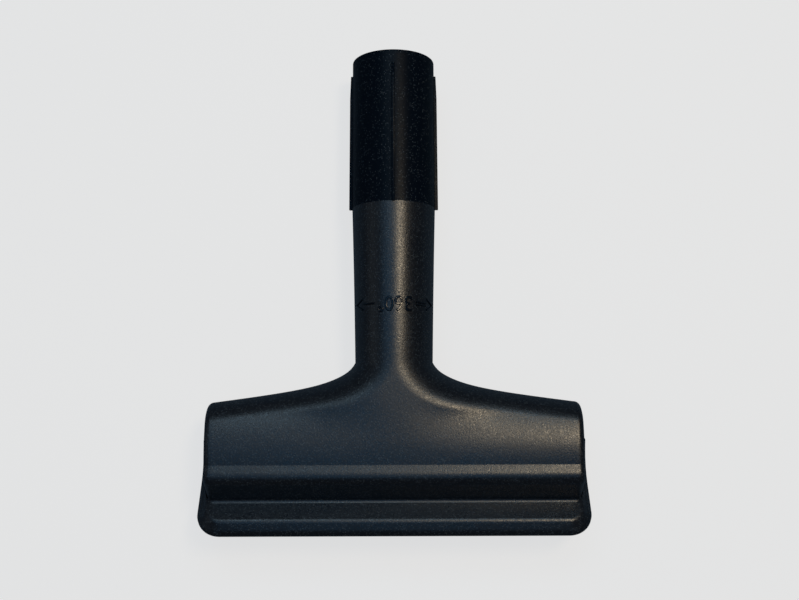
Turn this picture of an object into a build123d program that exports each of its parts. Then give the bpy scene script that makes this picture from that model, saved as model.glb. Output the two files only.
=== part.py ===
from build123d import *
import os
from math import cos, exp, hypot, pi, radians, sin, sqrt, tan

# A vacuum cleaner's upholstery nozzle, lying on a table as it comes to rest: on the rear
# edge of its sole and on the root of the lowest rib of its spigot. X runs across the head,
# Y along the tube towards the spigot's tip, Z up. The origin is under the middle of the
# whole nozzle, on the table.
#
# Everything below is in millimetres and degrees. The head is described in the sole's own
# directions: u runs from the front edge of the sole to the rear one, v stands up from it.

# Spigot, which plugs into the wand
spigot_length = 61.1
spigot_tip_diameter = 32.9
spigot_root_diameter = 33.0
spigot_bore_diameter = 28.6
spigot_edge_chamfer = 0.6
rib_count = 4
rib_width = 1.2
rib_tip_gap = 5.6
rib_ramp_length = 9.4
rib_tip_diameter = 34.4
rib_ramp_diameter = 35.1
rib_root_diameter = 35.5

# Neck between the spigot and the head
neck_length = 61.3
neck_mid_diameter = 31.45
neck_end_diameter = 30.3
neck_inner_diameter = 28.8
neck_bore_diameter = 26.0

# Head
sole_tilt = 33.0
sole_depth = 44.0
hood_width = 143.3
hood_wall = 2.2
hood_end_round = 2.4
front_wall_setback = 12.7
ridge_height = 18.6
ridge_round = 5.0
ridge_top_tilt = 21.7
groove_setback = 18.2
groove_round = 1.5
roof_start_rise = 8.0
roof_crown_share = 0.407
roof_crown_lift = 0.29
roof_crown_fall = 4.8
roof_break_share = 0.747
roof_break_lift = -1.14
roof_break_fall = 15.0
rear_overhang = 13.45
rear_round = 6.0
rear_wall_drop = 5.0
rear_wall_bulge = 0.45
rear_foot_step = 0.3
rear_foot_wall = 2.6
funnel_half_width = 28.0
funnel_top_height = 11.0
funnel_bottom_height = 0.0
funnel_end_share = 0.6
cavity_round = 3.0

# Flare, the curve by which the rear edge of the head runs up to the neck
flare_length = 15.65
flare_slope = 0.13
flare_rise = 6.6
flare_spread = 10.0
flare_root_rise = 1.7
flare_root_spread = 1.5
middle_crown_lift = 0.54
middle_crown_rise = 2.0
middle_half_width = 17.0
middle_edge_power = 2.6
neck_blend = 12.0
neck_step = 0.1

# Flange of the housing and the sole plate under it
sole_half_width = 75.2
ear_half_width = 77.0
ear_setback = 22.0
ear_lean = 0.15
ear_round = 1.5
sole_corner_round = 9.2
sole_plate_thickness = 2.6
sole_land = 1.2
flange_thickness = 2.4
flange_land = 0.15
joint_step = 0.15
toe_round = 0.8
wall_foot_round = 0.7

# Suction slot, locating rim and lint strips of the sole plate
slot_length = 118.0
slot_width = 12.0
slot_setback = 17.2
rim_height = 3.0
rim_wall = 1.5
rim_clearance = 0.2
rim_corner_round = 2.0
strip_length = 130.0
strip_width = 7.0
strip_thickness = 1.1
strip_recess_depth = 1.2
strip_clearance = 0.2
front_strip_setback = 5.6
rear_strip_gap = 4.6

# How finely the blended forms are worked out, and how far forms overlap where they are
# joined or cut
outline_steps = 30
roof_steps = 7
fan_steps = 5
flare_steps = 6
flare_step_power = 1.5
front_overlap = 3.0
end_block_spare = 0.25
cut_over = 1.0

# Places that follow from the sizes above
tilt = radians(sole_tilt)
rear_reach = sole_depth * cos(tilt) + rear_overhang
head_length = rear_reach + flare_length
overall_length = head_length + neck_length + spigot_length
front_y = -overall_length / 2
neck_end_y = front_y + head_length
spigot_root_y = neck_end_y + neck_length
tip_y = spigot_root_y + spigot_length
axis_z = rib_root_diameter / 2
front_z = sole_depth * sin(tilt)
neck_radius = neck_end_diameter / 2
hood_half = hood_width / 2
flange_foot_v = sole_plate_thickness
flange_top_v = sole_plate_thickness + flange_thickness
hood_foot_v = sole_plate_thickness + flange_thickness / 2
ridge_angle = radians(ridge_top_tilt)
roof_angle = tilt + radians(roof_start_rise)
groove_v = ridge_height + (groove_setback - front_wall_setback) * tan(ridge_angle)
groove_tangent = groove_round * tan((roof_angle - ridge_angle) / 2)
roof_start_u = groove_setback + groove_tangent * cos(roof_angle)
roof_start_v = groove_v + groove_tangent * sin(roof_angle)
roof_start_reach = roof_start_u * cos(tilt) + roof_start_v * sin(tilt)
roof_start_height = front_z - roof_start_u * sin(tilt) + roof_start_v * cos(tilt) - axis_z
roof_crown_reach = roof_start_reach + roof_crown_share * (rear_reach - roof_start_reach)
roof_crown_height = roof_start_height + roof_crown_lift
roof_break_reach = roof_start_reach + roof_break_share * (rear_reach - roof_start_reach)
roof_break_height = roof_start_height + roof_break_lift
rear_foot_u = sole_depth - rear_foot_step
tube_inner_reach = sole_depth * cos(tilt) + flange_foot_v * sin(tilt)
rear_strip_setback = sole_depth - rear_strip_gap - strip_width

sole = Plane(origin=(0, front_y, front_z), x_dir=(1, 0, 0), z_dir=(0, sin(tilt), cos(tilt)))


def side_point(x, u, v):
    """The point of the sole's u and v in the upright plane at x."""
    return sole.from_local_coords(Vector(x, u, v))


def off_axis(x, reach, height):
    """A point by its reach behind the front edge and its height above the tube's axis."""
    return Vector(x, front_y + reach, axis_z + height)


def flare_reach(x):
    """How far the rear edge of the head reaches behind the front edge, at x."""
    beyond = max(x - neck_radius, 0)
    side_rise = flare_slope * (hood_half - neck_radius - beyond)
    side_rise += flare_rise * exp(-beyond / flare_spread)
    side_rise += flare_root_rise * exp(-beyond / flare_root_spread)
    return rear_reach + side_rise


def plan_outline():
    """The right-hand outline of the head and neck seen from above, as x and reach."""
    steps = [(step / outline_steps) ** 3 for step in range(outline_steps + 1)]
    places = [neck_radius + hood_half * step for step in steps]
    flare = Spline([(x, flare_reach(x)) for x in places])
    side = Line((neck_radius, head_length), (neck_radius, head_length + neck_length))
    return Compound([flare, side])


outline = plan_outline()


def offset_corner(corner, angle_in, angle_out, inset):
    """Where two lines through a corner cross after both are moved inwards by inset."""
    x0 = corner[0] + inset * sin(angle_in)
    y0 = corner[1] - inset * cos(angle_in)
    x1 = corner[0] + inset * sin(angle_out)
    y1 = corner[1] - inset * cos(angle_out)
    along = ((x1 - x0) * sin(angle_out) - (y1 - y0) * cos(angle_out)) / sin(angle_out - angle_in)
    return x0 + along * cos(angle_in), y0 + along * sin(angle_in)


def rounded_corner(x, corner, angle_in, angle_out, radius):
    """The arc that rounds a corner of the side profile, in the plane at x."""
    turn = angle_out - angle_in
    tangent = radius * tan(abs(turn) / 2)
    bulge = radius / cos(turn / 2) - radius
    start = (corner[0] - tangent * cos(angle_in), corner[1] - tangent * sin(angle_in))
    end = (corner[0] + tangent * cos(angle_out), corner[1] + tangent * sin(angle_out))
    middle_angle = (angle_in + angle_out) / 2 + (pi / 2 if turn > 0 else -pi / 2)
    middle = (corner[0] + bulge * cos(middle_angle), corner[1] + bulge * sin(middle_angle))
    return ThreePointArc(side_point(x, *start), side_point(x, *middle), side_point(x, *end))


def cubic(reach, start, end):
    """The height at a reach on a curve between two ends, each given as reach, height, slope."""
    length = end[0] - start[0]
    share = (reach - start[0]) / length
    rest = 1 - share
    height = start[1] * (1 + 2 * share) * rest**2 + end[1] * (1 + 2 * rest) * share**2
    return height + length * share * rest * (start[2] * rest - end[2] * share)


def outer_roof(reach):
    """Height of the roof line over the ends of the head."""
    start = (roof_start_reach, roof_start_height, tan(radians(roof_start_rise)))
    crown = (roof_crown_reach, roof_crown_height, -tan(radians(roof_crown_fall)))
    end = (roof_break_reach, roof_break_height, -tan(radians(roof_break_fall)))
    if reach < roof_crown_reach:
        return cubic(reach, start, crown)
    if reach < roof_break_reach:
        return cubic(reach, crown, end)
    return end[1] + end[2] * (reach - end[0])


def middle_roof(reach):
    """Height of the roof line over the middle, up to the top of the neck."""
    start = (roof_start_reach, roof_start_height, tan(radians(roof_start_rise)))
    middle_rise = tan(radians(middle_crown_rise))
    crown = (roof_crown_reach, roof_crown_height + middle_crown_lift, middle_rise)
    end = (head_length, neck_radius, 0)
    return cubic(reach, start, crown) if reach < roof_crown_reach else cubic(reach, crown, end)


def roof_height(x, reach, distance):
    """Height above the tube's axis, with the roof rounded towards its outline."""
    away = hypot(max(x - neck_radius, 0), head_length - reach)
    near_neck = 1 / (1 + (away / neck_blend) ** 2)
    middle = 1 / (1 + (x / middle_half_width) ** middle_edge_power)
    middle = 1 - (1 - middle) * (1 - near_neck)
    roof = outer_roof(reach) * (1 - middle) + middle_roof(reach) * middle
    radius = rear_round + (neck_radius - rear_round) * near_neck
    short = max(radius - distance, 0)
    return roof - radius + sqrt(max(radius**2 - short**2, 0))


def rear_curves(front_x, rear_x, rear=None):
    """The roof from the groove to its rear end, and the rear wall from there to its foot.

    They stand in an upright plane that leads from front_x at the groove to rear_x at the rear.
    rear is the reach of the roof's end inside the neck, or None where it ends at the flare's edge.
    """
    reach_end = rear or flare_reach(rear_x)
    splay = (rear_x - front_x) / (reach_end - roof_start_reach)
    points = [off_axis(front_x, roof_start_reach, roof_start_height)]
    for step in range(1, roof_steps + 1):
        share = 1 - step / roof_steps
        reach = reach_end + (roof_start_reach - reach_end) * share**2
        x = front_x + splay * (reach - roof_start_reach)
        distance = outline.distance_to(Vertex(x, reach, 0)) if share or rear else 0
        points.append(off_axis(x, reach, roof_height(x, reach, distance)))
    start_slope = Vector(splay, 1, tan(radians(roof_start_rise))).normalized()
    slopes = None if rear else [start_slope, Vector(0, 0, -1)]
    marks = [step / roof_steps for step in range(roof_steps + 1)]
    roof = Edge.make_spline(points, tangents=slopes, parameters=marks)
    top = points[-1]
    foot = splayed(front_x, splay, rear_foot_u, hood_foot_v)
    drop = top - Vector(0, 0, rear_wall_drop)
    lift = foot + (top - foot) * rear_wall_bulge
    corner = splayed(front_x, splay, roof_start_u - front_overlap, hood_foot_v)
    return roof, Bezier(top, drop, lift, foot), corner


def splayed(front_x, splay, u, v):
    """The point of the sole's u and v in an upright plane that starts at front_x."""
    reach = u * cos(tilt) + v * sin(tilt)
    return side_point(front_x + splay * (reach - roof_start_reach), u, v)


def front_curves(x, foot_v):
    """The front wall, ridge and groove in the plane at x."""
    ridge = (front_wall_setback, ridge_height)
    ridge_arc = rounded_corner(x, ridge, pi / 2, ridge_angle, ridge_round)
    groove = (groove_setback, groove_v)
    groove_arc = rounded_corner(x, groove, ridge_angle, roof_angle, groove_round)
    return [
        Line(side_point(x, front_wall_setback, foot_v), ridge_arc @ 0),
        ridge_arc,
        Line(ridge_arc @ 1, groove_arc @ 0),
        groove_arc,
    ]


def whole_profile(x):
    """The closed side profile of the hood at x, near its end."""
    front = front_curves(x, hood_foot_v)
    roof, wall, _ = rear_curves(x, x)
    return Face(Wire([*front, roof, wall, Line(wall @ 1, front[0] @ 0)]))


def rear_profile(front_x, rear_x, rear=None):
    """The closed form behind the groove, in one of the planes that fan out from the neck."""
    roof, wall, corner = rear_curves(front_x, rear_x, rear)
    return Face(Wire([roof, wall, Line(wall @ 1, corner), Line(corner, roof @ 0)]))


def front_profile():
    """The closed form of the front wall, ridge and groove, with a cove where it meets the flange."""
    sag = wall_foot_round * (1 - cos(pi / 4))
    toe = side_point(0, front_wall_setback - wall_foot_round, hood_foot_v)
    low = side_point(0, front_wall_setback - wall_foot_round, flange_top_v)
    middle = side_point(0, front_wall_setback - sag, flange_top_v + sag)
    high = side_point(0, front_wall_setback, flange_top_v + wall_foot_round)
    back = side_point(0, roof_start_u, hood_foot_v)
    upper = front_curves(0, flange_top_v + wall_foot_round)
    lower = [Line(back, toe), Line(toe, low), ThreePointArc(low, middle, high)]
    return Face(Wire([*lower, *upper, Line(upper[-1] @ 1, back)]))


def hood_shell():
    """The outer form of the hood, with its two rounded ends."""
    block_length = hood_end_round + end_block_spare
    last_x = hood_half - block_length
    fan_half = neck_radius * pi / 2
    centre = []
    for step in range(fan_steps):
        turn = pi / 2 * step / fan_steps
        rear_x = neck_radius * sin(turn)
        centre.append(rear_profile(fan_half * step / fan_steps, rear_x, head_length))
    side = []
    for step in range(flare_steps + 1):
        share = (step / flare_steps) ** flare_step_power
        front_x = fan_half + (last_x - fan_half) * share
        side.append(rear_profile(front_x, neck_radius + (last_x - neck_radius) * share))
    half = loft([*centre, side[0]]) + loft(side)
    half += extrude(front_profile(), amount=last_x, dir=(1, 0, 0))

    block = extrude(whole_profile(last_x), amount=block_length, dir=(1, 0, 0))
    end_face = block.faces().sort_by(Axis.X)[-1]
    lowest = end_face.edges().sort_by(lambda edge: sole.to_local_coords(edge.center()).Z)[0]
    around = [edge for edge in end_face.edges() if edge.center() != lowest.center()]
    half += fillet(around, hood_end_round)
    return half + mirror(half, Plane.YZ)


def hood_cavity():
    """The air space under the roof, open to the sole."""
    front_x = hood_half - hood_wall
    ridge = offset_corner((front_wall_setback, ridge_height), pi / 2, ridge_angle, hood_wall)
    groove = offset_corner((groove_setback, groove_v), ridge_angle, roof_angle, hood_wall)
    foot_v = flange_foot_v - cut_over
    points = [
        side_point(0, front_wall_setback + hood_wall, foot_v),
        side_point(0, *ridge),
        side_point(0, *groove),
        off_axis(0, roof_break_reach, roof_break_height - hood_wall),
        off_axis(0, rear_reach - hood_wall, roof_break_height - rear_round - hood_wall),
        side_point(0, sole_depth - rear_foot_wall, foot_v),
    ]
    section = FilletPolyline(*points, radius=cavity_round)
    profile = Face(Wire([*section.edges(), Line(points[-1], points[0])]))
    return extrude(profile, amount=front_x, dir=(1, 0, 0), both=True)


def funnel():
    """The passage that narrows from the hood's air space to the neck's bore."""
    mouth = front_y + roof_break_reach
    end_half = neck_bore_diameter / 2 * funnel_end_share
    plan = make_face(
        Polyline(
            (-funnel_half_width, mouth),
            (-end_half, neck_end_y),
            (end_half, neck_end_y),
            (funnel_half_width, mouth),
            close=True,
        )
    )
    height = funnel_top_height - funnel_bottom_height
    return Pos(0, 0, axis_z + funnel_bottom_height) * extrude(plan, amount=height)


def tube_profile():
    """Half the section of the spigot and neck, from the tip to a cone inside the hood."""
    inner_y = front_y + tube_inner_reach
    points = [(0, inner_y), (neck_inner_diameter / 2, inner_y), (neck_radius - neck_step, neck_end_y)]
    root = (spigot_root_diameter / 2, spigot_root_y)
    middle = (neck_mid_diameter / 2, (neck_end_y + spigot_root_y) / 2)
    tip = (spigot_tip_diameter / 2, tip_y)
    line = Polyline(*points)
    line += ThreePointArc(points[-1], middle, root)
    line += Polyline(root, tip, (0, tip_y), points[0])
    return make_face(line)


def tube_body():
    """The spigot and neck as a turned form, up on the tube's axis."""
    body = revolve(tube_profile(), Axis.Y)
    tip_edge = body.edges().sort_by(Axis.Y)[-1]
    body = chamfer(tip_edge, spigot_edge_chamfer)
    return Pos(0, 0, axis_z) * body


def tube_bore():
    """The air passage from the tip down into the hood."""
    inner_y = front_y + tube_inner_reach
    end = tip_y + cut_over
    bore = Polyline(
        (0, inner_y),
        (neck_bore_diameter / 2, inner_y),
        (neck_bore_diameter / 2, neck_end_y),
        (spigot_bore_diameter / 2, spigot_root_y),
        (spigot_bore_diameter / 2, end),
        (0, end),
        close=True,
    )
    return Pos(0, 0, axis_z) * revolve(make_face(bore), Axis.Y)


def rib():
    """One rib of the spigot, on top of the tube."""
    start_y = tip_y - rib_tip_gap
    ramp_y = start_y - rib_ramp_length
    buried = spigot_bore_diameter / 2 + (spigot_root_diameter - spigot_bore_diameter) / 4
    side = Polyline(
        (start_y, buried),
        (start_y, rib_tip_diameter / 2),
        (ramp_y, rib_ramp_diameter / 2),
        (spigot_root_y, rib_root_diameter / 2),
        (spigot_root_y, buried),
        close=True,
    )
    return extrude(Plane.YZ * make_face(side), amount=rib_width / 2, both=True)


def sole_outline(inset):
    """The plan of the sole, drawn on the sole itself: rounded toe, ears at the rear."""
    side = sole_half_width - inset
    ear = ear_half_width - inset
    corner = sole_corner_round - inset
    right = Line((0, inset), (side - corner, inset))
    right += RadiusArc((side - corner, inset), (side, inset + corner), -corner)
    right += Line((side, inset + corner), (side, ear_setback))
    swing = Spline((side, ear_setback), (ear, sole_depth), tangents=[(0, 1), (ear_lean, 1)])
    right += swing
    right += Line((ear, sole_depth), (0, sole_depth))
    face = make_face(right + mirror(right, Plane.YZ))
    rear_ends = face.vertices().group_by(Axis.Y)[-1].sort_by(Axis.X)
    return fillet([rear_ends[0], rear_ends[-1]], ear_round)


def sloped_plate(inset, thickness, land):
    """A plate on the sole whose front and side edges slope at 45 degrees above a low land."""
    slope = thickness - land
    foot = extrude(sole_outline(inset), amount=land)
    low = Pos(0, 0, land) * sole_outline(inset)
    high = Pos(0, 0, thickness) * sole_outline(inset + slope)
    return foot + loft([low, high], ruled=True)


def toe_edges(flange):
    """The front edge of the flange's top and the two corners beside it."""
    top = flange.faces().sort_by(Axis.Z)[-1]
    return [edge for edge in top.edges() if edge.center().Y < sole_depth - ear_round]


def housing():
    """The one moulding that is spigot, neck, hood and flange."""
    flange_inset = sole_plate_thickness - sole_land + joint_step
    flange = sloped_plate(flange_inset, flange_thickness, flange_land)
    flange = fillet(toe_edges(flange), toe_round)
    flange = sole * Pos(0, 0, flange_foot_v) * flange
    body = hood_shell() + tube_body()
    for turn in range(rib_count):
        body += Pos(0, 0, axis_z) * Rot(0, turn * 360 / rib_count, 0) * rib()
    body += flange
    body -= hood_cavity()
    body -= funnel()
    body -= tube_bore()
    return body


def rounded_bar(length, width, height, low_v, setback):
    """A bar with round ends that lies across the sole."""
    bar = extrude(SlotOverall(length, width), amount=height)
    return Pos(0, setback + width / 2, low_v) * bar


def locating_rim():
    """The upstand of the sole plate that fits inside the hood."""
    outer_x = hood_half - hood_wall - rim_clearance
    front_u = front_wall_setback + hood_wall + rim_clearance
    rear_u = sole_depth - rear_foot_wall - rim_clearance
    middle = Pos(0, (front_u + rear_u) / 2, sole_plate_thickness)
    outer = RectangleRounded(2 * outer_x, rear_u - front_u, rim_corner_round)
    inner_x = outer_x - rim_wall
    inner_depth = rear_u - front_u - 2 * rim_wall
    inner = RectangleRounded(2 * inner_x, inner_depth, rim_corner_round - rim_wall)
    return middle * extrude(outer - inner, amount=rim_height)


def sole_plate():
    """The plate that closes the hood, with the suction slot and the two strip recesses."""
    plate = sloped_plate(0, sole_plate_thickness, sole_land)
    plate += locating_rim()
    slot_height = sole_plate_thickness + rim_height + 2 * cut_over
    plate -= rounded_bar(slot_length, slot_width, slot_height, -cut_over, slot_setback)
    for setback in (front_strip_setback, rear_strip_setback):
        plate -= rounded_bar(
            strip_length + 2 * strip_clearance,
            strip_width + 2 * strip_clearance,
            strip_recess_depth + cut_over,
            -cut_over,
            setback - strip_clearance,
        )
    return sole * plate


def lint_strip(setback):
    """A strip of short pile on its backing, seated against the floor of its recess."""
    low_v = strip_recess_depth - strip_thickness
    return sole * rounded_bar(strip_length, strip_width, strip_thickness, low_v, setback)


os.makedirs("parts", exist_ok=True)
pieces = {
    "housing": housing(),
    "sole_plate": sole_plate(),
    "front_lint_strip": lint_strip(front_strip_setback),
    "rear_lint_strip": lint_strip(rear_strip_setback),
}
for name, piece in pieces.items():
    export_step(piece, f"parts/{name}.step")
    print(name, len(piece.solids()), "solid,", round(piece.volume), "mm3, valid", piece.is_valid)
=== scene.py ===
# %% [markdown]
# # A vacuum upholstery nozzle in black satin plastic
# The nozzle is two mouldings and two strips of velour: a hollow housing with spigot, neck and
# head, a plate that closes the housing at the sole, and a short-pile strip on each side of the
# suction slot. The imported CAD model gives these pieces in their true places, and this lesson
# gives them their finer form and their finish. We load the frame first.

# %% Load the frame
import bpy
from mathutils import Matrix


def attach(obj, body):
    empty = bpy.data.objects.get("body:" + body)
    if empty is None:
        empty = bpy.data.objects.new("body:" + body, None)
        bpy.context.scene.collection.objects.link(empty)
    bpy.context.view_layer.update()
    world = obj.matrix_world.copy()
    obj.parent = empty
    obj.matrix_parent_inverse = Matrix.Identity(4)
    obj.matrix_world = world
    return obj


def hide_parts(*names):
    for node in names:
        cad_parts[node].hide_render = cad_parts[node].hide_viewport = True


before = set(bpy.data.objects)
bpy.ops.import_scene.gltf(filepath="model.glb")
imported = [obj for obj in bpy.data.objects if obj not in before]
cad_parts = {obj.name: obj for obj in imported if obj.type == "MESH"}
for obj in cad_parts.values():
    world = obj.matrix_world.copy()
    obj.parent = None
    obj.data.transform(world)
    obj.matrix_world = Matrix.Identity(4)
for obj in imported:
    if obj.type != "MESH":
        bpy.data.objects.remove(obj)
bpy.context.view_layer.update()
print("nodes:", ", ".join(sorted(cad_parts)))

# %% Imports
from math import radians, tan

import bmesh
import bpy
import numpy as np
from mathutils import Quaternion, Vector

# %% [markdown]
# ## Sizes
# The head's sole is tilted to the tube, so a size that belongs to the sole is easier to write
# along it: `u` runs back from the front edge and `v` runs up from the sole. `reach` is the plain
# distance back from the front edge. The sizes in this cell repeat the CAD source, so that both
# models agree. They are in millimetres and are turned to metres only when a mesh is made.

# %% Sizes
millimetre, metre = 0.001, 1000  # a millimetre in metres, and a metre in millimetres
front_y, neck_end_y, spigot_root_y, tip_y = -94.2, -28.2, 33.1, 94.2
axis_z, sole_front_z, sole_tilt = 17.75, 23.964, radians(33)
neck_radius, root_radius, tip_radius, bore_radius = 15.15, 16.5, 16.45, 14.3
hood_half, end_round = 71.65, 2.4
wall_setback, ridge_v, groove_u = 12.7, 18.6, 18.2
flange_foot_v, flange_top_v = 2.6, 5.0
whole_length = tip_y - front_y
print(f"length {whole_length:.1f} mm, head {2 * hood_half:.1f} mm wide without its flange")


def from_sole(u, v):
    """The y and z of places given along the sole and up from it."""
    u, v = np.asarray(u, float), np.asarray(v, float)
    y = front_y + u * np.cos(sole_tilt) + v * np.sin(sole_tilt)
    z = sole_front_z - u * np.sin(sole_tilt) + v * np.cos(sole_tilt)
    return np.stack([y, z], -1)


# %% [markdown]
# ## Two helpers for node trees
# Materials and Geometry Nodes are both trees of nodes. One helper adds a node and fills in its
# values, the other draws a list of links. A Mix node has sockets for every kind of value under
# the same names, so its sockets are reached by number, and the numbers get names here.

# %% Helpers for node trees
mix_factor, mix_value_a, mix_value_b, mix_colour_a, mix_colour_b = 0, 2, 3, 6, 7
mix_value_out, mix_colour_out = 0, 2


def add(tree, kind, place, **values):
    """A node with its values set, for both properties and inputs."""
    node = tree.nodes.new(kind)
    node.location = place
    for key, value in values.items():
        if key in node.inputs:
            node.inputs[key].default_value = value
        else:
            setattr(node, key, value)
    return node


def wire(tree, *pairs):
    """Link each output to its input, in the order given."""
    for source, target in pairs:
        tree.links.new(source, target)


# %% [markdown]
# ## The rear edge of the head
# Seen from above, the head's rear edge runs nearly straight from its ends and then sweeps into
# the neck. A drawn curve would do, but two fading terms say the same in a few numbers: a wide one
# for the sweep and a tight one for the last turn into the tube.

# %% The rear edge of the head, seen from above
edge_reach, edge_rise = 50.35, 0.13
wide_sweep, wide_fade = 6.6, 10
tight_sweep, tight_fade = 1.7, 1.5


def flare_reach(x):
    """How far behind the front edge the head ends at x."""
    beyond = np.maximum(np.abs(x) - neck_radius, 0)
    rise = edge_rise * (hood_half - neck_radius - beyond)
    sweep = wide_sweep * np.exp(-beyond / wide_fade)
    return edge_reach + rise + sweep + tight_sweep * np.exp(-beyond / tight_fade)


for where, x in (("ends", hood_half), ("neck", neck_radius)):
    print(f"reach at the {where}: {flare_reach(x):.1f} mm")

# %% [markdown]
# The roof gets lower towards this edge, so each of its points has to know how far inside the
# outline it lies. The outline is a chain of short pieces that goes on along the side of the tube,
# and the distance is the one to the nearest of them.

# %% Distance to the outline
edge_run, edge_count, tube_run = 75, 400, 60
edge_x = neck_radius + edge_run * np.linspace(0, 1, edge_count) ** 3
edge = np.stack([edge_x, front_y + flare_reach(edge_x)], -1)
edge = np.vstack([[neck_radius, neck_end_y + tube_run], edge])


def edge_distance(x, y):
    """How far points lie inside the outline of the head and neck."""
    point = np.stack([np.abs(x), y], -1)[:, None, :]
    start, along = edge[:-1], np.diff(edge, axis=0)
    share = ((point - start) * along).sum(-1) / (along**2).sum(-1)
    foot = start + np.clip(share, 0, 1)[..., None] * along
    return np.sqrt(((point - foot) ** 2).sum(-1)).min(1)


# %% [markdown]
# ## The roof of the head
# The roof is the part that catches the light, so it is written as one height field and not
# modelled by hand. From front to rear it climbs to a crown, bends at a break and falls. In the
# middle it keeps its height instead, to meet the tube. Its rim is rounded like a cylinder lying
# on its side, whose radius grows from 8 mm at the ends to the neck's own radius: that is why head
# and neck flow together.

# %% The roof as a height field
end_radius, neck_blend, blend_power = 8.0, 21.5, 5
middle_half, middle_power = 17, 2.6
start_reach, crown_reach, break_reach, end_reach = 26.9, 36.4, 44.4, 66.0
start_height, start_slope = 13.78, 0.1405
crown_height, crown_slope = 14.06, -0.0847
break_height, rear_slope = 12.63, -0.268
middle_height, middle_slope = 14.60, 0.035


def hermite(t, length, z0, z1, slope0, slope1):
    """A cubic over a length, by its two heights and two slopes."""
    s = t / length
    ends = z0 * (1 + 2 * s) * (1 - s) ** 2 + z1 * s**2 * (3 - 2 * s)
    return ends + length * s * (1 - s) * (slope0 * (1 - s) - slope1 * s)


def side_line(reach):
    """The roof's line from front to rear at the sides of the head."""
    climb, fall = crown_reach - start_reach, break_reach - crown_reach
    first = np.clip(reach - start_reach, -1, climb)
    second = np.clip(reach - crown_reach, 0, fall)
    third = np.maximum(reach - break_reach, 0)
    front_part = hermite(first, climb, start_height, crown_height, start_slope, crown_slope)
    rear_part = hermite(second, fall, crown_height, break_height, crown_slope, rear_slope)
    return np.where(reach < crown_reach, front_part, rear_part + rear_slope * third)


def middle_line(reach):
    """The roof's line in the middle, which runs level into the tube."""
    climb, run = crown_reach - start_reach, end_reach - crown_reach
    first = np.clip(reach - start_reach, -1, climb)
    along = np.clip(reach - crown_reach, 0, run)
    front_part = hermite(first, climb, start_height, middle_height, start_slope, middle_slope)
    rear_part = hermite(along, run, middle_height, neck_radius, middle_slope, 0.0)
    return np.where(reach < crown_reach, front_part, rear_part)


def roof_height(x, y):
    """Height of the roof above the tube's axis, rounded towards its outline."""
    reach = y - front_y
    away = np.hypot(np.maximum(np.abs(x) - neck_radius, 0), np.maximum(neck_end_y - y, 0))
    near_neck = 1 / (1 + (away / neck_blend) ** blend_power)
    middle = 1 / (1 + np.abs(x / middle_half) ** middle_power)
    middle = 1 - (1 - middle) * (1 - near_neck)
    outer, inner = side_line(reach), middle_line(reach)
    roof = outer + (inner - outer) * middle
    radius = end_radius + (neck_radius - end_radius) * near_neck
    short = np.maximum(radius - edge_distance(x, y), 0)
    return roof - radius + np.sqrt(np.maximum(radius**2 - short**2, 0))


# %% [markdown]
# ## One section of the hood
# A mould maker would think of the hood as a side profile that changes a little from the middle to
# the ends, so we make it the same way. The profile starts in a small cove on the flange, climbs
# the front wall, turns over the ridge, dips in the groove, follows the roof and falls down the
# rear wall. Where two straight runs meet, an arc of the moulding's own radius is laid in, because
# those small radii draw the thin bright lines along the front.

# %% The radii and the foot of the profile
ridge_tilt, groove_exit = radians(21.7), sole_tilt + radians(8)
groove_v = ridge_v + (groove_u - wall_setback) * np.tan(ridge_tilt)
cove_radius, ridge_radius, groove_radius = 1.3, 5.0, 1.5
roof_rows, wall_rows = 90, 14
rear_foot_u, rear_foot_v, wall_drop, wall_lean = 43.7, 3.8, 5, 0.45


def arc(corner, angle_in, angle_out, radius, count):
    """Points that round a corner between two directions, in a plane."""
    turn = angle_out - angle_in
    side = np.sign(turn)
    start = corner - radius * np.tan(abs(turn) / 2) * np.array([np.cos(angle_in), np.sin(angle_in)])
    centre = start + side * radius * np.array([-np.sin(angle_in), np.cos(angle_in)])
    angles = angle_in + np.linspace(0, turn, count)
    return centre + side * radius * np.stack([np.sin(angles), -np.cos(angles)], -1)


# %% Section of the hood
front_arcs = [
    arc(np.array([wall_setback, flange_top_v]), 0, np.pi / 2, cove_radius, 7),
    arc(np.array([wall_setback, ridge_v]), np.pi / 2, ridge_tilt, ridge_radius, 14),
    arc(np.array([groove_u, groove_v]), ridge_tilt, groove_exit, groove_radius, 7),
]
front_profile = np.vstack([from_sole(points[:, 0], points[:, 1]) for points in front_arcs])
rear_foot = from_sole(rear_foot_u, rear_foot_v)


def section(x):
    """Points of the hood's side profile at x, from the front foot to the rear one."""
    last_y = front_y + flare_reach(x) if abs(x) > neck_radius else neck_end_y
    share = np.linspace(1, 0, roof_rows) ** 2
    y = last_y + (front_profile[-1, 0] - last_y) * share
    z = axis_z + roof_height(np.full(roof_rows, x), y)
    z += (front_profile[-1, 1] - z[0]) * share**2
    roof = np.stack([y, z], -1)[1:]
    drop = roof[-1] - [0, wall_drop]
    lift = rear_foot + wall_lean * (roof[-1] - rear_foot)
    t = np.linspace(0, 1, wall_rows)[1:, None]
    upper = roof[-1] * (1 - t) ** 3 + 3 * drop * t * (1 - t) ** 2
    wall = upper + 3 * lift * t**2 * (1 - t) + rear_foot * t**3
    return np.vstack([front_profile, roof, wall])


def inward(points, inset):
    """A section moved into the material by inset."""
    along = np.gradient(points, axis=0)
    along /= np.linalg.norm(along, axis=1)[:, None]
    return points + inset * np.stack([along[:, 1], -along[:, 0]], -1)


print("points in one section:", len(section(0.0)))

# %% [markdown]
# ## From sections to a grid
# The sections stand side by side like the frames of a boat. They are closer together near the
# neck, where the form changes most. At the end of the head the last section is repeated nine
# times, each time a little smaller and further out along a quarter circle, which rounds the end
# wall's rim. A last row closes it.

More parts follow.
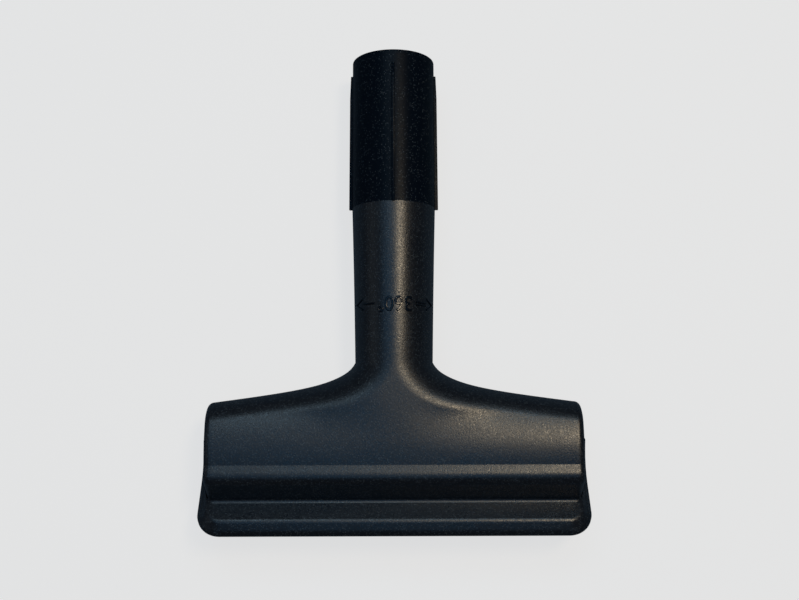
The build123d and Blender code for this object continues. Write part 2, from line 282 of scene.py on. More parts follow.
# %% The hood as rows of points, with its rounded ends
ring_count, side_count, side_power, round_count = 48, 60, 1.7, 9
quarter = np.linspace(0, np.pi / 2, ring_count // 2 + 1)
side_run = hood_half - end_round - neck_radius
beside = neck_radius + side_run * np.linspace(0, 1, side_count)[1:] ** side_power
half_x = np.concatenate([neck_radius * np.sin(quarter), beside])
columns = [(x, x, 0.0) for x in half_x]
for turn in np.linspace(0, np.pi / 2, round_count)[1:]:
    place = half_x[-1] + end_round * np.sin(turn)
    columns.append((place, half_x[-1], end_round * (1 - np.cos(turn))))
sections = []
for place, x, inset in columns:
    outline = inward(section(x), inset)
    sections.append(np.column_stack([np.full(len(outline), place), outline]))
last = sections[-1]
floor_line = np.linspace(last[0], last[-1], len(last))
sections.append(np.column_stack([last[:, 0], floor_line[:, 1:]]))
sections = np.array(sections)
sections = np.concatenate([sections[:0:-1] * [-1, 1, 1], sections])
print("hood grid:", sections.shape[:2])

# %% [markdown]
# ## Spigot and neck
# The tube is round, so it is a stack of rings on one axis. A plain cone would miss that the neck
# bows in a little between its ends. The tip has a small round, and the first rings of the bore
# follow it, so the wall's thickness shows from behind.

# %% Spigot and neck
tip_round, neck_bow = 0.6, 0.4
neck_count, spigot_count, bore_lip = 60, 50, 0.3


def ring(radius, y, angles):
    """A ring of points round the tube's axis."""
    place = np.full(len(angles), y)
    return np.stack([radius * np.sin(angles), place, axis_z + radius * np.cos(angles)], -1)


def tube_radius(y):
    """Outer radius of the neck, which bows in a little, and of the spigot."""
    t = (y - neck_end_y) / (spigot_root_y - neck_end_y)
    bow = neck_radius + (root_radius - neck_radius) * t - neck_bow * t * (1 - t)
    spigot = np.interp(y, [spigot_root_y, tip_y], [root_radius, tip_radius])
    return np.where(y < spigot_root_y, bow, spigot)


whole_turn = np.linspace(-np.pi / 2, 1.5 * np.pi, 2 * ring_count + 1)
neck_places = np.linspace(neck_end_y, spigot_root_y, neck_count)
spigot_places = np.linspace(spigot_root_y, tip_y - tip_round, spigot_count)[1:]
tube_places = np.concatenate([neck_places, spigot_places])
tube = [ring(float(tube_radius(y)), y, whole_turn) for y in tube_places]
for turn in np.linspace(0, np.pi / 2, 7)[1:]:
    place = tip_y - tip_round * (1 - np.sin(turn))
    tube.append(ring(tip_radius - tip_round * (1 - np.cos(turn)), place, whole_turn))
for widening, depth in ((bore_lip, 0), (0, bore_lip), (0, 1.5)):
    tube.append(ring(bore_radius + widening, tip_y - depth, whole_turn))
tube = np.array(tube)
print("tube grid:", tube.shape[:2])

# %% [markdown]
# ## The neck's underside
# The neck's lower half doesn't end where the roof takes over. It runs on below the head for 28 mm
# and gets a little thinner, which can be seen from the side. Half rings are enough for it,
# because the roof covers the rest.

# %% The neck's underside
under_run, under_start, under_growth, under_count = 28, 14.4, 0.75, 12
under_half = np.linspace(np.pi / 2, 1.5 * np.pi, ring_count + 1)
under = []
for y in np.linspace(neck_end_y - under_run, neck_end_y, under_count):
    radius = under_start + under_growth * (y - neck_end_y + under_run) / under_run
    under.append(ring(radius, y, under_half))
under = np.array(under)
print("underside grid:", under.shape[:2])

# %% [markdown]
# ## Ribs of the spigot
# Four thin ribs grip the inside of the wand. Each rises towards the root, so that the last push
# is the tight one. A stretched box would have the wrong top, so each rib is a short stack of
# cross-sections: a small round on top, repeated at seven stations along the tube, each with its
# own height. Quarter turns round the axis give the four.

# %% Ribs of the spigot
rib_half, rib_flat, rib_foot = 0.6, 0.4, 16.2
rib_stations = [
    (88.6, rib_foot), (88.6, 17.1), (88.5, 17.2), (79.2, 17.55),
    (33.3, 17.75), (33.1, 17.65), (33.1, rib_foot),
]
ribs = []
for turn in np.arange(4) * np.pi / 2:
    rows = []
    for y, top in rib_stations:
        half = [(rib_flat, top), (0.54, top - 0.06), (rib_half, top - 0.2), (rib_half, rib_foot)]
        profile = [(-across, up) for across, up in half[::-1]] + half
        rows.append([
            (
                across * np.cos(turn) + up * np.sin(turn),
                y,
                axis_z - across * np.sin(turn) + up * np.cos(turn),
            )
            for across, up in profile
        ])
    ribs.append(np.array(rows))
print("ribs:", len(ribs))

# %% [markdown]
# ## Outline of the flange
# The flange follows the outline of the sole: a straight front, round corners, sides that swing
# out to small ears at the rear, and a straight rear edge. The points of the right half come with
# the direction in which each moves when the outline is drawn smaller, so every ring of the flange
# uses the same list.

# %% Outline of the sole
corner_u, corner_x = 9.2, 66
swing_start, swing_end = np.array([75.2, 22.0]), np.array([77.0, 42.5])
swing_pull, swing_slope = 21, np.array([0.148, 0.99])
ear_x, ear_radius, rear_u = 75.5, 1.5, 44.0


def sole_outline():
    """Points round the right half of the sole, from its front, and how each moves in."""
    turn = np.linspace(0, np.pi / 2, 15)
    t = np.linspace(0, 1, 16)[:, None]
    swing = swing_start * (1 + 2 * t) * (1 - t) ** 2 + swing_end * t**2 * (3 - 2 * t)
    swing += swing_pull * t * (1 - t) * ((1 - t) * np.array([0, 1.0]) - t * swing_slope)
    front = np.stack([np.linspace(0, corner_x, 12)[:-1], np.zeros(11)], -1)
    corner = np.stack([corner_x + corner_u * np.sin(turn), corner_u - corner_u * np.cos(turn)], -1)
    ear_round = np.stack([np.cos(turn[::2]), np.sin(turn[::2])], -1)
    ear = np.array([ear_x, swing_end[1]]) + ear_radius * ear_round
    rear = np.stack([np.linspace(ear_x, 0, 12)[1:], np.full(11, rear_u)], -1)
    points = np.vstack([front, corner, swing, ear[1:], rear])
    moves = np.vstack([
        np.tile([0, 1.0], (11, 1)),
        np.stack([-np.sin(turn), np.cos(turn)], -1),
        np.tile([-1.0, 0], (len(swing) + len(ear) - 1, 1)),
        np.stack([-np.linspace(1, 0, 12)[1:], np.zeros(11)], -1),
    ])
    return points, moves


def whole_ring(x, u, v):
    """A ring over both halves of the sole from places on its right half."""
    right = np.column_stack([x, from_sole(u, np.full(len(u), v))])
    return np.vstack([right, right[-2::-1] * [-1, 1, 1]])


# %% [markdown]
# ## Rings of the flange
# The toe slopes at 45 degrees up to a rounded crest, and the flange's top runs in under the hood.
# Along the front the flange is flush with the sole plate under it. At the corners and sides it
# stands back by 0.15 mm, which lets the joint show there as a fine line. A bevelled plate would
# give the slope too, but rings let the step fade in along the outline.

# %% Rings of the flange
flush_inset, lip_inset, lip_v = 1.4, 1.52, 2.72
crest_inset, crest_radius = 3.8, 2.6
joint_step, step_from, step_over = 0.15, 58, 10
inner_half, inner_front_u, inner_rear_u, side_u = 69.2, 15.2, 41.0, 22

points, moves = sole_outline()
crest = arc(np.array([crest_inset, flange_top_v]), np.pi / 4, 0, crest_radius, 9)
step_back = joint_step * np.clip((points[:, 0] - step_from) / step_over, 0, 1)[:, None]
ring_places = [(flush_inset, flange_foot_v, 1), (lip_inset, lip_v, 1)] + [(*p, 0) for p in crest]
flange = []
for inset, v, share in ring_places:
    place = points + (inset + share * step_back) * moves
    flange.append(whole_ring(place[:, 0], place[:, 1], v))
inner_u = np.where(points[:, 1] < side_u, inner_front_u, inner_rear_u)
flange.append(whole_ring(np.minimum(points[:, 0], inner_half), inner_u, flange_top_v))
flange = np.array(flange)
print("flange grid:", flange.shape[:2])

# %% [markdown]
# ## The air passage
# The air goes from the slot through a cavity and a funnel into the bore. Those inner walls are
# already right in the CAD model, so they aren't built twice: we take a copy of its mesh, join the
# copy's loose triangles, and keep only the faces whose middles lie inside the walls. The CAD node
# itself is left alone.

# %% Inner faces of the CAD model
merge_distance = 0.00001
cavity_front_u, cavity_rear_u, cavity_half = 13.7, 41.7, 70
funnel_front_y, funnel_half, passage_front_y = -50.5, 28.2, -56
neck_bore_limit, spigot_bore_limit, skin_margin = 13.2, 14.5, 1


def inner_faces(node):
    """The faces of a copy of the node's mesh that line its air passage."""
    work = bmesh.new()
    work.from_mesh(node.data)
    bmesh.ops.remove_doubles(work, verts=work.verts, dist=merge_distance)
    centres = np.array([face.calc_center_median()[:] for face in work.faces]) * metre
    x, y, z = centres.T
    u = (y - front_y) * np.cos(sole_tilt) - (z - sole_front_z) * np.sin(sole_tilt)
    v = (y - front_y) * np.sin(sole_tilt) + (z - sole_front_z) * np.cos(sole_tilt)
    from_axis = np.hypot(x, z - axis_z)
    before_neck = y < neck_end_y
    below_roof = z < axis_z + roof_height(x, np.minimum(y, neck_end_y)) - skin_margin
    covered = below_roof & (edge_distance(x, y) > skin_margin)
    in_cavity = (u > cavity_front_u) & (u < cavity_rear_u) & (v > flange_foot_v)
    in_cavity &= (np.abs(x) < cavity_half) & covered
    in_funnel = (y > funnel_front_y) & before_neck & (z > axis_z - 0.1)
    in_funnel &= (np.abs(x) < funnel_half) & covered
    in_bore = (y > passage_front_y) & (y < tip_y - 0.2)
    in_bore &= from_axis < np.where(before_neck, neck_bore_limit, spigot_bore_limit)
    keep = in_cavity | in_funnel | in_bore
    outside = [face for face, stays in zip(list(work.faces), keep) if not stays]
    bmesh.ops.delete(work, geom=outside, context="FACES")
    mesh = bpy.data.meshes.new("passage")
    work.to_mesh(mesh)
    work.free()
    return mesh


passage = inner_faces(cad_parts["housing"])
print("faces of the air passage:", len(passage.polygons))

# %% [markdown]
# ## Making the housing
# All the grids and the passage become one mesh, as the real housing is one moulding. Boolean
# modifiers could join them too, but grids keep their even faces, which shade cleanly. A grid's
# rows can be read from either side, so each says whether its faces have to be flipped to point
# outwards. Points that fall together are merged, so the shading is smooth across those joins and
# stays sharp only where the form turns by more than 35 degrees. Where grids only touch, as at the
# ribs, the flange and the inner walls, they stay unjoined, and their open edges don't show.

# %% Helpers that make a mesh and a piece
def add_grid(mesh_points, faces, grid, flip=False):
    """Quads between neighbouring rows and columns of a grid of points."""
    rows, cols = grid.shape[:2]
    offset = len(mesh_points)
    for i in range(rows - 1):
        for j in range(cols - 1):
            a = offset + i * cols + j
            quad = (a, a + 1, a + cols + 1, a + cols)
            faces.append(quad[::-1] if flip else quad)
    mesh_points.extend((grid.reshape(-1, 3) * millimetre).tolist())


def finish_piece(name, mesh, node=None, sharp=35):
    """Smooth shading and a place on the root body for a new piece, whose CAD node, if given, is
    hidden.
    """
    mesh.shade_smooth()
    mesh.set_sharp_from_angle(angle=radians(sharp))
    piece = bpy.data.objects.new(name, mesh)
    bpy.context.scene.collection.objects.link(piece)
    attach(piece, "root")
    if node:
        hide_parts(node)
    print(f"{name}: {len(mesh.polygons)} faces")
    return piece


# %% Make the housing
skin_merge = 0.000002
grids = [(sections, True), (tube, False), (under, False), (flange, False)]
grids += [(rib, True) for rib in ribs]
mesh_points, faces = [], []
for grid, flip in grids:
    add_grid(mesh_points, faces, grid, flip)
skin = bpy.data.meshes.new("skin")
skin.from_pydata(mesh_points, [], faces)
work = bmesh.new()
work.from_mesh(skin)
bmesh.ops.remove_doubles(work, verts=work.verts, dist=skin_merge)
work.from_mesh(passage)
housing_mesh = bpy.data.meshes.new("housing_shell")
work.to_mesh(housing_mesh)
work.free()
housing = finish_piece("housing_shell", housing_mesh, "housing")

# %% [markdown]
# ## The turning mark
# The neck carries a thin raised mark, 360 degrees between two arrows, to say that it turns in the
# wand. A bump map would look flat at a low angle, so it is real geometry: text and lines are made
# flat, turned to meshes, and then every point is wrapped round the neck. It stands on its head as
# seen from the front.

# %% Bend flat shapes round the neck
mark_x, mark_y, mark_narrowing, mark_sink = 0.5, -6.5, 0.88, 0.1


def bend(mesh):
    """Wrap a flat mesh, in metres, round the top of the neck."""
    for vertex in mesh.vertices:
        across, along, up = vertex.co * metre
        y = mark_y - along
        radius = float(tube_radius(y)) - mark_sink + up
        angle = (mark_x - across) / neck_radius
        place = Vector((radius * np.sin(angle), y, axis_z + radius * np.cos(angle)))
        vertex.co = place * millimetre


def evaluated_mesh(holder):
    """The finished mesh of an object, as plain data. The object itself is removed."""
    bpy.context.scene.collection.objects.link(holder)
    depsgraph = bpy.context.evaluated_depsgraph_get()
    mesh = bpy.data.meshes.new_from_object(holder.evaluated_get(depsgraph))
    bpy.data.objects.remove(holder)
    return mesh


# %% [markdown]
# The digits are a text curve with a small bevel, because moulded characters have sloped sides,
# and those slopes catch the light.

# %% The digits
digits = bpy.data.curves.new("turning_digits", "FONT")
digits.body = "360°"
digits.size = 0.0082
digits.align_x = "CENTER"
digits.align_y = "CENTER"
digits.extrude = 0.0003
digits.offset = -0.00012
digits.bevel_depth = 0.00026
digits.bevel_resolution = 3
digits_mesh = evaluated_mesh(bpy.data.objects.new("turning_digits", digits))
for vertex in digits_mesh.vertices:
    vertex.co.x *= mark_narrowing

# %% [markdown]
# The arrows are thin round bars. Each line has 16 points, so that it can follow the neck when it
# is bent. One arrow has a single shaft and the other a double one.

# %% The arrows
arrow_tip, head_back, head_half = 18.2, 4.4, 2.1
shaft_from, shaft_to, shaft_offsets = 5.0, 10.2, {1: (0,), -1: (-0.5, 0.5)}
line_points, bar_lift = 16, 0.00015

bars = bpy.data.curves.new("turning_arrows", "CURVE")
bars.dimensions = "3D"
bars.bevel_depth = 0.0004
bars.bevel_resolution = 2
bars.use_fill_caps = True
for side in (-1, 1):
    tip = arrow_tip * side
    lines = [[(tip - head_back * side, head_half), (tip, 0), (tip - head_back * side, -head_half)]]
    for offset in shaft_offsets[side]:
        lines.append([(tip - shaft_from * side, offset), (tip - shaft_to * side, offset)])
    for line in lines:
        spline = bars.splines.new("POLY")
        spline.points.add(line_points - 1)
        corners = np.array(line)
        shares = np.linspace(0, 1, line_points) * (len(corners) - 1)
        for point, share in zip(spline.points, shares):
            x, y = [np.interp(share, range(len(corners)), corners[:, axis]) for axis in (0, 1)]
            point.co = (x * millimetre, y * millimetre, bar_lift, 1)
bars_mesh = evaluated_mesh(bpy.data.objects.new("turning_arrows", bars))

# %% [markdown]
# Both meshes are flat so far. Wrapping them point by point keeps their raised height the same all
# round, which a Simple Deform modifier would not do on a tapered neck.

# %% Wrap the mark round the neck
for name, mesh in (("turning_digits", digits_mesh), ("turning_arrows", bars_mesh)):
    bend(mesh)
    finish_piece(name, mesh)

# %% [markdown]
# ## Sole plate
# The sole plate closes the housing from below and has the suction slot. Its CAD form is final, so
# we dress a merged copy of its mesh. Smooth shading alone would bend the light over its big flat
# faces, because they share their corner normals with the rounded edges. So the shading is split
# along their borders.

# %% Make the sole plate
down = Vector((0, -np.sin(sole_tilt), -np.cos(sole_tilt)))
piece_sharp, flat_enough = 30, 0.9999


def merged_copy(node):
    """A copy of a node's mesh with its loose triangles joined."""
    mesh = node.data.copy()
    work = bmesh.new()
    work.from_mesh(mesh)
    bmesh.ops.remove_doubles(work, verts=work.verts, dist=merge_distance)
    work.to_mesh(mesh)
    work.free()
    mesh.materials.clear()
    return mesh


def keep_flat(mesh):
    """Split the shading where a mesh's flat lower and upper faces meet their rounded edges."""
    work = bmesh.new()
    work.from_mesh(mesh)
    for border in work.edges:
        flats = [abs(face.normal.dot(down)) > flat_enough for face in border.link_faces]
        if any(flats) and not all(flats):
            border.smooth = False
    work.to_mesh(mesh)
    work.free()


plate_mesh = merged_copy(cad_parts["sole_plate"])
sole_plate = finish_piece("sole_plate_shell", plate_mesh, "sole_plate", piece_sharp)
keep_flat(sole_plate.data)

# %% [markdown]
# ## The pile of the lint strips
# Velour is a woven backing with thousands of short fibres that stand up from it. A hair system
# could make them, but it doesn't reach an exported mesh, so Geometry Nodes plant them: they
# scatter points on the faces that look down, set a thin three-sided cone on each, lean it at
# random and turn everything into real mesh. The backing comes out together with its fibres, so
# each strip is one piece.

# %% Sockets of the pile tree
pile = bpy.data.node_groups.new("velour_pile", "GeometryNodeTree")
sockets = {}
for name, kind in (
    ("Backing", "NodeSocketGeometry"),
    ("Density", "NodeSocketFloat"),
    ("Length", "NodeSocketFloat"),
    ("Down", "NodeSocketVector"),
    ("Pile Material", "NodeSocketMaterial"),
):
    sockets[name] = pile.interface.new_socket(name, in_out="INPUT", socket_type=kind).identifier
pile.interface.new_socket("Geometry", in_out="OUTPUT", socket_type="NodeSocketGeometry")

# %% Nodes of the pile tree
lean_limit, full_turn, faces_down = 0.22, 6.28, 0.95
start = add(pile, "NodeGroupInput", (-900, 0))
end = add(pile, "NodeGroupOutput", (900, 0))
normal = add(pile, "GeometryNodeInputNormal", (-900, -300))
facing = add(pile, "ShaderNodeVectorMath", (-700, -300), operation="DOT_PRODUCT")
below = add(pile, "FunctionNodeCompare", (-500, -300), data_type="FLOAT", operation="GREATER_THAN")
below.inputs[1].default_value = faces_down
spread = add(pile, "GeometryNodeDistributePointsOnFaces", (-300, 0), Seed=7)
fibre = add(pile, "GeometryNodeMeshCone", (-500, -550), Vertices=3)
fibre.inputs["Radius Bottom"].default_value = 0.00016
fibre.inputs["Radius Top"].default_value = 0.00006
lean = add(pile, "FunctionNodeRandomValue", (-300, -350), data_type="FLOAT_VECTOR")
lean.inputs[0].default_value = (-lean_limit, -lean_limit, 0.0)
lean.inputs[1].default_value = (lean_limit, lean_limit, full_turn)
turned = add(pile, "FunctionNodeRotateRotation", (-100, -250))
planted = add(pile, "GeometryNodeInstanceOnPoints", (100, 0))
solid = add(pile, "GeometryNodeRealizeInstances", (300, 0))
dressed = add(pile, "GeometryNodeSetMaterial", (500, 0))
joined = add(pile, "GeometryNodeJoinGeometry", (700, 0))
wire(
    pile,
    (normal.outputs[0], facing.inputs[0]),
    (start.outputs["Down"], facing.inputs[1]),
    (facing.outputs["Value"], below.inputs[0]),
    (start.outputs["Backing"], spread.inputs["Mesh"]),
    (below.outputs[0], spread.inputs["Selection"]),
    (start.outputs["Density"], spread.inputs["Density"]),
    (start.outputs["Length"], fibre.inputs["Depth"]),
    (spread.outputs["Rotation"], turned.inputs[0]),
    (lean.outputs[0], turned.inputs[1]),
    (spread.outputs["Points"], planted.inputs["Points"]),
    (fibre.outputs["Mesh"], planted.inputs["Instance"]),
    (turned.outputs[0], planted.inputs["Rotation"]),
    (planted.outputs[0], solid.inputs[0]),
    (solid.outputs[0], dressed.inputs["Geometry"]),
    (start.outputs["Pile Material"], dressed.inputs["Material"]),
    (start.outputs["Backing"], joined.inputs[0]),
    (dressed.outputs[0], joined.inputs[0]),
    (joined.outputs[0], end.inputs[0]),
)

# %% [markdown]
# The CAD strips are plain bars whose lower face is the top of the pile. Raising that face by 0.55
# mm turns the bar into the backing, and fibres of 0.5 mm fill the gap again, so the strip keeps
# its true size. Their density is given per square metre. The modifier's inputs are set by their
# identifiers before the strip is first evaluated.

# %% The two strips
fibre_length, backing_lift, fibre_density = 0.0005, 0.00055, 12e6
velour = bpy.data.materials.new("velour")
for name in ("front_lint_strip", "rear_lint_strip"):
    backing = merged_copy(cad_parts[name])
    heights = [vertex.co.dot(down) for vertex in backing.vertices]
    half_way = (max(heights) + min(heights)) / 2
    for vertex, height in zip(backing.vertices, heights):
        if height > half_way:
            vertex.co -= down * backing_lift
    holder = bpy.data.objects.new(name + "_backing", backing)
    modifier = holder.modifiers.new("pile", "NODES")
    modifier.node_group = pile
    modifier[sockets["Density"]] = fibre_density
    modifier[sockets["Length"]] = fibre_length
    modifier[sockets["Down"]] = tuple(down)
    modifier[sockets["Pile Material"]] = velour
    mesh = evaluated_mesh(holder)
    mesh.materials.clear()
    mesh.materials.append(velour)
    finish_piece(name + "_velour", mesh, name, piece_sharp)

# %% [markdown]
# ## Spark-eroded grain, with painted glints
# The steel mould of such a part is spark-eroded, which leaves a fine even grain on the plastic.
# It shows in three ways: tiny bumps, a gloss that changes from point to point, and a few specks
# where a facet catches the light. Those specks are painted glints: a lighter colour laid into the
# base colour, which stands in for the light that the facets catch. All three come from one node
# group, and each plastic places it with its own values. Its height is one noise. Its painted
# glints are the cells of a Voronoi pattern: a cell counts when its random red value is below the
# share, only its middle gets the lighter colour, and its green value says how much. The gloss
# follows the same noise, mixed with a slow one that keeps broad faces from looking the same all
# over.

# %% Sockets of the grain
grain = bpy.data.node_groups.new("spark_eroded_grain", "ShaderNodeTree")
for name, kind, way in (
    ("Position", "NodeSocketVector", "INPUT"),
    ("Dark", "NodeSocketColor", "INPUT"),
    ("Painted Glint", "NodeSocketColor", "INPUT"),
    ("Glint Share", "NodeSocketFloat", "INPUT"),
    ("Color", "NodeSocketColor", "OUTPUT"),
    ("Height", "NodeSocketFloat", "OUTPUT"),
    ("Variation", "NodeSocketFloat", "OUTPUT"),
):
    grain.interface.new_socket(name, in_out=way, socket_type=kind)

# %% Nodes of the grain
# A painted glint fills the middle of a cell, out to this distance.
glint_radius, fine_share = 0.45, 0.75
start = add(grain, "NodeGroupInput", (-800, 0))
end = add(grain, "NodeGroupOutput", (500, 0))
fine = add(grain, "ShaderNodeTexNoise", (-500, 300), Scale=1500.0, Detail=3.0, Roughness=0.6)
cells = add(grain, "ShaderNodeTexVoronoi", (-500, 0), Scale=2000.0)
split = add(grain, "ShaderNodeSeparateColor", (-300, 0))
rare = add(grain, "ShaderNodeMath", (-100, 0), operation="LESS_THAN")
near = add(grain, "ShaderNodeMath", (-300, -200), operation="LESS_THAN")
near.inputs[1].default_value = glint_radius
# The middle of a chosen cell becomes a painted glint, as bright as its green value says.
glint_mask = add(grain, "ShaderNodeMath", (80, -60), operation="MULTIPLY")
strength = add(grain, "ShaderNodeMath", (240, -60), operation="MULTIPLY")
mix = add(grain, "ShaderNodeMix", (300, 120), data_type="RGBA")
slow = add(grain, "ShaderNodeTexNoise", (-500, -400), Scale=45.0, Detail=3.0, Roughness=0.5)
vary = add(grain, "ShaderNodeMix", (300, -400), data_type="FLOAT")
vary.inputs[mix_factor].default_value = fine_share
wire(
    grain,
    (start.outputs["Position"], fine.inputs["Vector"]),
    (start.outputs["Position"], cells.inputs["Vector"]),
    (start.outputs["Position"], slow.inputs["Vector"]),
    (cells.outputs["Color"], split.inputs[0]),
    (split.outputs[0], rare.inputs[0]),
    (start.outputs["Glint Share"], rare.inputs[1]),
    (cells.outputs["Distance"], near.inputs[0]),
    (rare.outputs[0], glint_mask.inputs[0]),
    (near.outputs[0], glint_mask.inputs[1]),
    (glint_mask.outputs[0], strength.inputs[0]),
    (split.outputs[1], strength.inputs[1]),
    (strength.outputs[0], mix.inputs[mix_factor]),
    (start.outputs["Dark"], mix.inputs[mix_colour_a]),
    (start.outputs["Painted Glint"], mix.inputs[mix_colour_b]),
    (mix.outputs[mix_colour_out], end.inputs["Color"]),
    (fine.outputs[0], end.inputs["Height"]),
    (slow.outputs[0], vary.inputs[mix_value_a]),
    (fine.outputs[0], vary.inputs[mix_value_b]),
    (vary.outputs[mix_value_out], end.inputs["Variation"]),
)

# %% [markdown]
# ## The three plastics
# It is one black plastic with three finishes: eroded on head, neck and sole, smoother on the
# spigot, which has to slide, and polished on the mark, so that it stands out from the grain. The
# colour is nearly black with a little blue. The sheen of the part comes from its specular level
# and roughness, and both are set on the shader itself.

# %% Plastic with the grain
# The second colour is a painted glint: a lighter speck that stands in for facets catching a lamp.
dark_plastic, painted_glint_colour = (0.0022, 0.0062, 0.0130, 1), (0.060, 0.075, 0.090, 1)
grain_depth, noise_low, noise_high = 0.0001, 0.3, 0.7


def plastic(name, specular, rough_low, rough_high, bump_strength, glint_share):
    """Satin black plastic with the eroded grain and its painted glints, more or less smooth."""
    material = bpy.data.materials.new(name)
    material.use_nodes = True
    tree = material.node_tree
    shader = tree.nodes["Principled BSDF"]
    shader.inputs["Specular IOR Level"].default_value = specular
    place = add(tree, "ShaderNodeTexCoord", (-1200, 0))
    group = add(tree, "ShaderNodeGroup", (-900, 0), node_tree=grain)
    group.inputs["Dark"].default_value = dark_plastic
    # The lighter colour and the share place the painted glints of the grain.
    group.inputs["Painted Glint"].default_value = painted_glint_colour
    group.inputs["Glint Share"].default_value = glint_share
    bump = add(tree, "ShaderNodeBump", (-300, -250), Distance=grain_depth, Strength=bump_strength)
    rough = add(tree, "ShaderNodeMapRange", (-500, 50))
    rough.inputs["From Min"].default_value = noise_low
    rough.inputs["From Max"].default_value = noise_high
    rough.inputs["To Min"].default_value = rough_low
    rough.inputs["To Max"].default_value = rough_high
    wire(
        tree,
        (place.outputs["Object"], group.inputs["Position"]),
        (group.outputs["Color"], shader.inputs["Base Color"]),
        (group.outputs["Variation"], rough.inputs["Value"]),
        (rough.outputs["Result"], shader.inputs["Roughness"]),
        (group.outputs["Height"], bump.inputs["Height"]),
        (bump.outputs["Normal"], shader.inputs["Normal"]),
    )
    return material


# %% Put the plastics on their pieces
# The last value is the share of cells that get a painted glint.
eroded = plastic("eroded_plastic", 0.8, 0.22, 0.48, 0.6, 0.50)
smooth = plastic("smooth_plastic", 0.08, 0.26, 0.44, 0.3, 0.25)
polished = plastic("polished_plastic", 0.5, 0.12, 0.18, 0.0, 0.0)
housing.data.materials.append(eroded)
housing.data.materials.append(smooth)
for face in housing.data.polygons:
    if face.center.y * metre > spigot_root_y:
        face.material_index = 1
for name in ("turning_digits", "turning_arrows"):
    bpy.data.objects[name].data.materials.clear()
    bpy.data.objects[name].data.materials.append(polished)
sole_plate.data.materials.append(eroded)
print("smooth faces on the spigot:", sum(face.material_index for face in housing.data.polygons))

# %% [markdown]
# ## Velour
# Velour is rough and has a soft sheen at a low angle, because light passes through the tips of
# its fibres. The fibres are real geometry here, so the material needs no bump. A noise of about
# one millimetre lets the tufts differ a little in tone.

# %% Velour
velour_dark, velour_light = (0.030, 0.030, 0.033, 1), (0.085, 0.085, 0.090, 1)
velour.use_nodes = True
tree = velour.node_tree
shader = tree.nodes["Principled BSDF"]
shader.inputs["Roughness"].default_value = 0.9
shader.inputs["Sheen Weight"].default_value = 0.4
shader.inputs["Sheen Roughness"].default_value = 0.5
place = add(tree, "ShaderNodeTexCoord", (-900, 0))
tufts = add(tree, "ShaderNodeTexNoise", (-700, 0), Scale=900.0, Detail=3.0, Roughness=0.6)
tint = add(tree, "ShaderNodeMix", (-300, 0), data_type="RGBA")
tint.inputs[mix_colour_a].default_value = velour_dark
tint.inputs[mix_colour_b].default_value = velour_light
wire(
    tree,
    (place.outputs["Object"], tufts.inputs["Vector"]),
    (tufts.outputs[0], tint.inputs[mix_factor]),
    (tint.outputs[mix_colour_out], shader.inputs["Base Color"]),
)

# %% [markdown]
# ## Camera
# The camera stands 44 cm above the head and looks down, leant towards the tip. Its place and lens
# were worked out from how the ring, the ribs and the rim of the tube look in the photograph.

# %% Camera
camera_data = bpy.data.cameras.new("camera")
camera_data.lens = 48.26
camera_data.sensor_width = 36
camera = bpy.data.objects.new("camera", camera_data)
camera.location = (0.0020, -0.0658, 0.4362)
camera.rotation_euler = (radians(8.5), 0, radians(-0.2))
bpy.context.scene.collection.objects.link(camera)
bpy.context.scene.camera = camera
print(f"the lens sees {np.degrees(camera_data.angle):.1f} degrees across")

# %% [markdown]
# ## Light
# Black plastic shows its form only by what it mirrors, so each lamp is placed where its
# reflection has to lie. A wide blue one overhead fills the front slopes. A cool band behind the
# tip draws the roof's line. A small warm one to the right makes the bright streak along the neck
# and the flare, and a faint window on the left lifts the tube's edge. A lamp's power is its
# radiance times pi times its area, so a lamp can be made larger without making it brighter. The
# world adds only a little.

# %% Lights
lamp_target = Vector((0, -0.03, 0.02))  # metres, near the middle of the nozzle


def area_light(name, lean_x, lean_y, size, radiance, colour, turn=0):
    """A soft lamp one metre off, leant from the vertical to the right and towards the tip."""
    data = bpy.data.lights.new(name, "AREA")
    data.shape = "RECTANGLE"
    data.size, data.size_y = size
    data.energy = radiance * np.pi * size[0] * size[1]
    data.color = colour
    lamp = bpy.data.objects.new(name, data)
    toward = Vector((tan(radians(lean_x)), tan(radians(lean_y)), 1)).normalized()
    lamp.location = lamp_target + toward
    facing = (-toward).to_track_quat("-Z", "Y")
    lamp.rotation_euler = (facing @ Quaternion((0, 0, 1), radians(turn))).to_euler()
    bpy.context.scene.collection.objects.link(lamp)
    print(f"{name}: {data.energy:.2f} W")


area_light("overhead", -6, -4, (1.0, 0.7), 0.45, (0.18, 0.54, 1.0))
area_light("rear_cool", -3, 32, (0.7, 0.25), 2.2, (0.54, 0.80, 1.0))
area_light("rear_warm", 18, 14, (0.16, 0.26), 16.0, (1.0, 0.82, 0.58), 20)
area_light("left_window", -62, 5, (0.6, 0.5), 0.15, (0.85, 0.95, 1.0))

world = bpy.data.worlds.new("room")
bpy.context.scene.world = world
world.use_nodes = True
background = world.node_tree.nodes["Background"]
background.inputs["Color"].default_value = (0.82, 0.82, 0.82, 1)
background.inputs["Strength"].default_value = 0.05

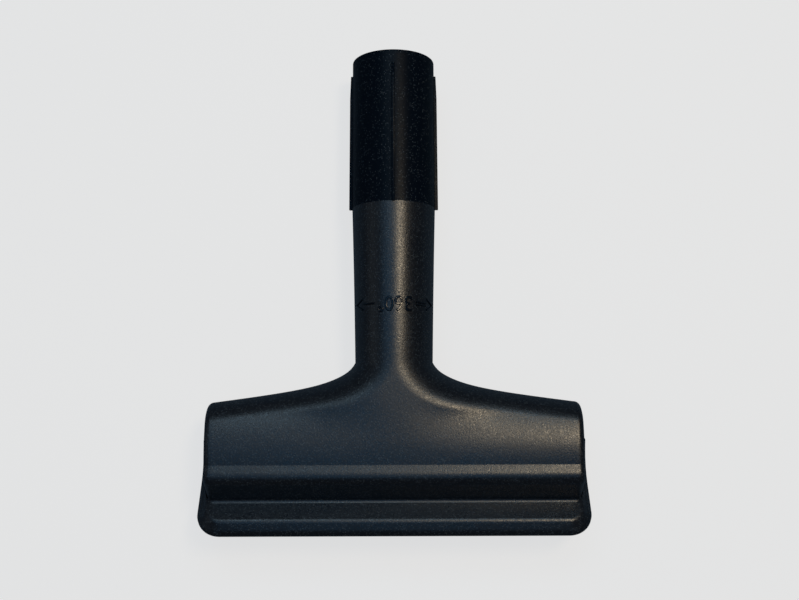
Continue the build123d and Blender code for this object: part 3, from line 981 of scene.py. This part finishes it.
# %% [markdown]
# ## Floor
# The floor has to look pale to the camera and still stay out of the plastic's reflections. So it
# has two tones: Light Path's Is Camera Ray picks the pale one for the camera and a darker one for
# everything else. The camera's tone is partly a glow of its own, which needs no lamp, and partly
# a lit surface, which keeps the nozzle's soft shadow.

# %% Floor
floor_half, glow_share = 3, 0.7
mirrored_tone, pale_tone = (0.15, 0.21, 0.28, 1), (0.80, 0.80, 0.80, 1)
corners = [(-floor_half, -floor_half, 0), (floor_half, -floor_half, 0)]
corners += [(floor_half, floor_half, 0), (-floor_half, floor_half, 0)]
floor_mesh = bpy.data.meshes.new("floor")
floor_mesh.from_pydata(corners, [], [(0, 1, 2, 3)])
floor = bpy.data.objects.new("floor", floor_mesh)
bpy.context.scene.collection.objects.link(floor)

# %% Floor material
floor_material = bpy.data.materials.new("floor")
floor_material.use_nodes = True
tree = floor_material.node_tree
lit = tree.nodes["Principled BSDF"]
lit.inputs["Roughness"].default_value = 0.9
tone = add(tree, "ShaderNodeMix", (-300, 100), data_type="RGBA")
tone.inputs[mix_colour_a].default_value = mirrored_tone
tone.inputs[mix_colour_b].default_value = pale_tone
glow = add(tree, "ShaderNodeEmission", (0, -300), Color=(1.0, 1.0, 1.0, 1), Strength=1.0)
seen = add(tree, "ShaderNodeLightPath", (-300, 300))
share = add(tree, "ShaderNodeMath", (0, 300), operation="MULTIPLY")
share.inputs[1].default_value = glow_share
blend = add(tree, "ShaderNodeMixShader", (300, 0))
wire(
    tree,
    (seen.outputs["Is Camera Ray"], share.inputs[0]),
    (seen.outputs["Is Camera Ray"], tone.inputs[mix_factor]),
    (tone.outputs[mix_colour_out], lit.inputs["Base Color"]),
    (share.outputs[0], blend.inputs[0]),
    (lit.outputs[0], blend.inputs[1]),
    (glow.outputs[0], blend.inputs[2]),
    (blend.outputs[0], tree.nodes["Material Output"].inputs[0]),
)
floor_mesh.materials.append(floor_material)

# %% [markdown]
# ## Colour view
# Colours are shown as they are, without a film look.

# %% Colour view
bpy.context.scene.view_settings.view_transform = "Standard"
